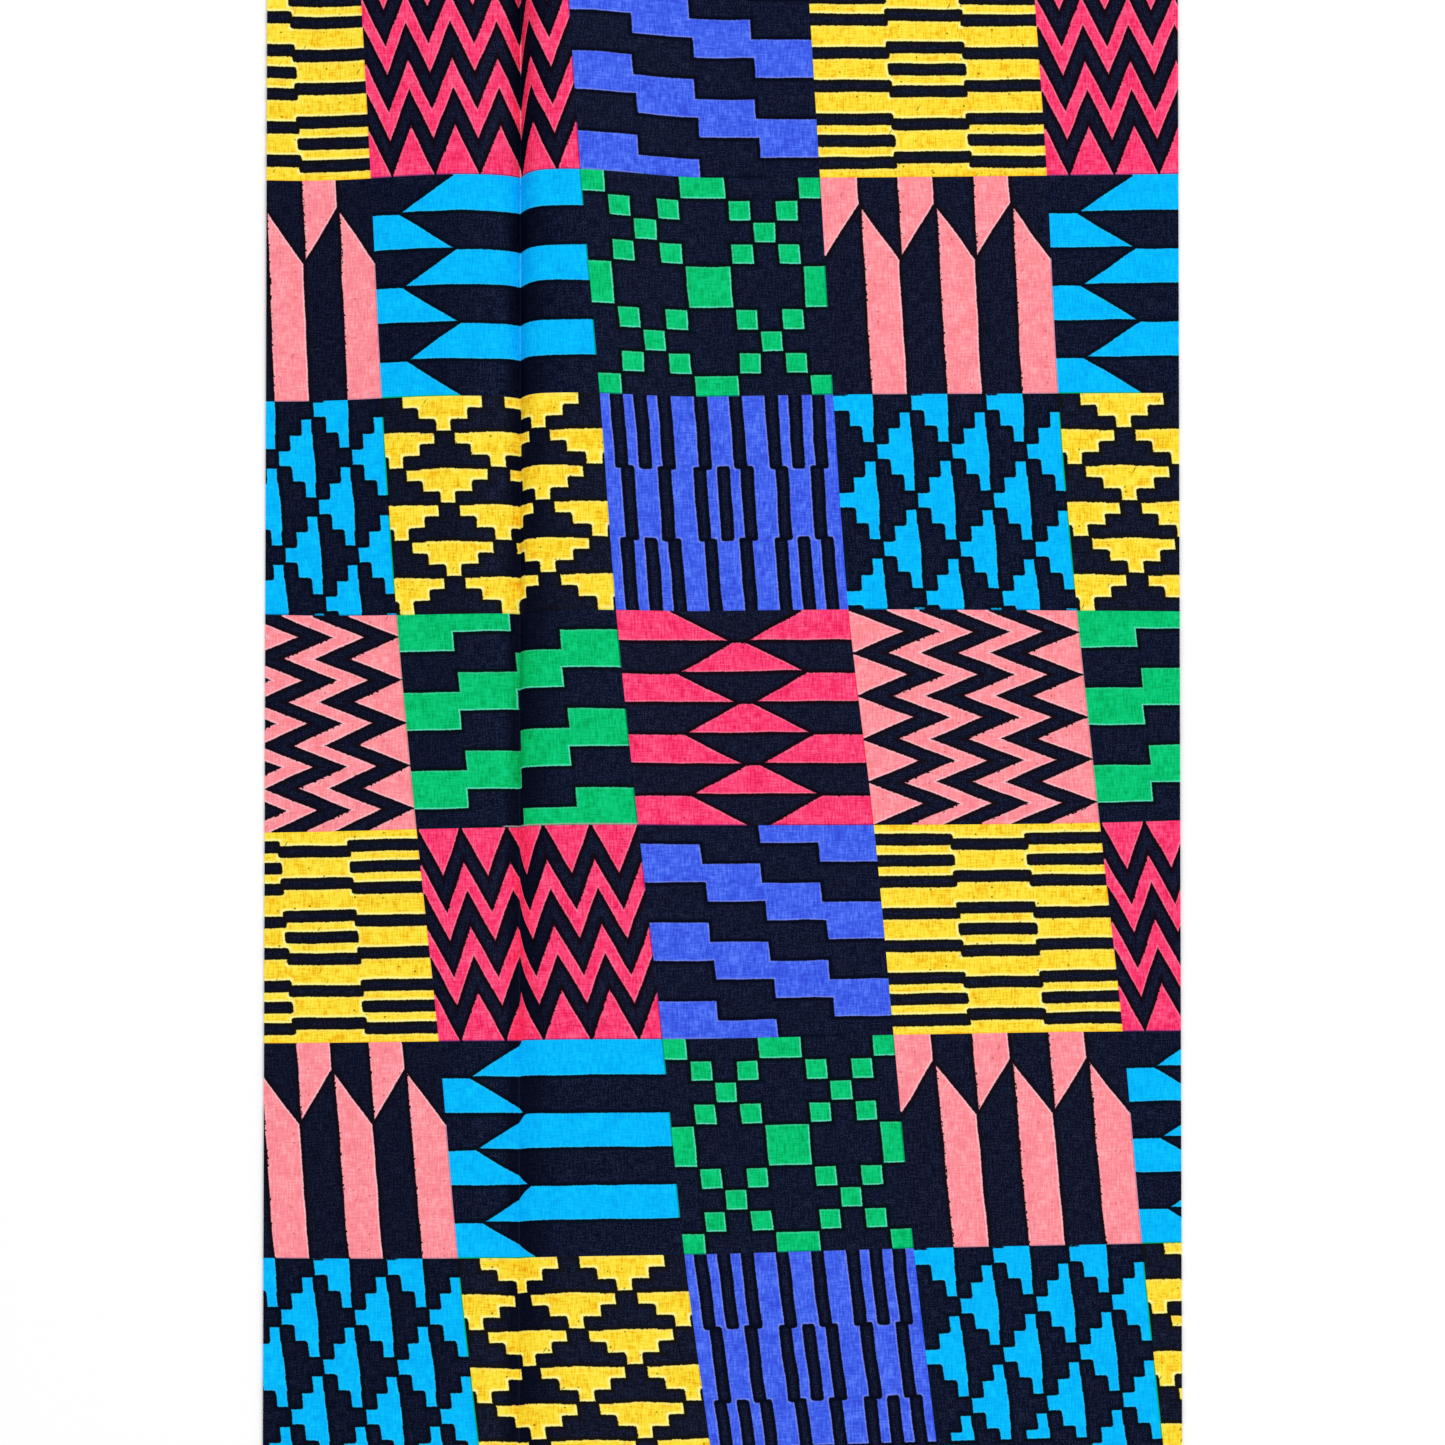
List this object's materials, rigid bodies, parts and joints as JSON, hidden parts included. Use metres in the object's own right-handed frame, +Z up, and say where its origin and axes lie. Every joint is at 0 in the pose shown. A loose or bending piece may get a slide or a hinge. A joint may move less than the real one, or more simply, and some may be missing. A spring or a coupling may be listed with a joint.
{
  "type": "wax print cloth",
  "caption": "Cut length of printed cotton cloth in a geometric patchwork pattern, lying flat with one low pressed fold line along it.",
  "frame": {"origin": "centre of the bounding box, at the bottom, on the surface that the cloth lies on", "axes": "+Z up off the surface, the cloth's printed face upwards; +Y along the cloth's length, towards the edge where the fold stands highest; +X across its width, to the right when looking along +Y"},
  "size_m": [0.299, 0.518, 0.0105],
  "materials": {
    "printed_cotton": "matt plain-woven cotton, printed on its face"
  },
  "bodies": {
    "root": {"wax_print_cloth": "printed_cotton"}
  },
  "joints": []
}
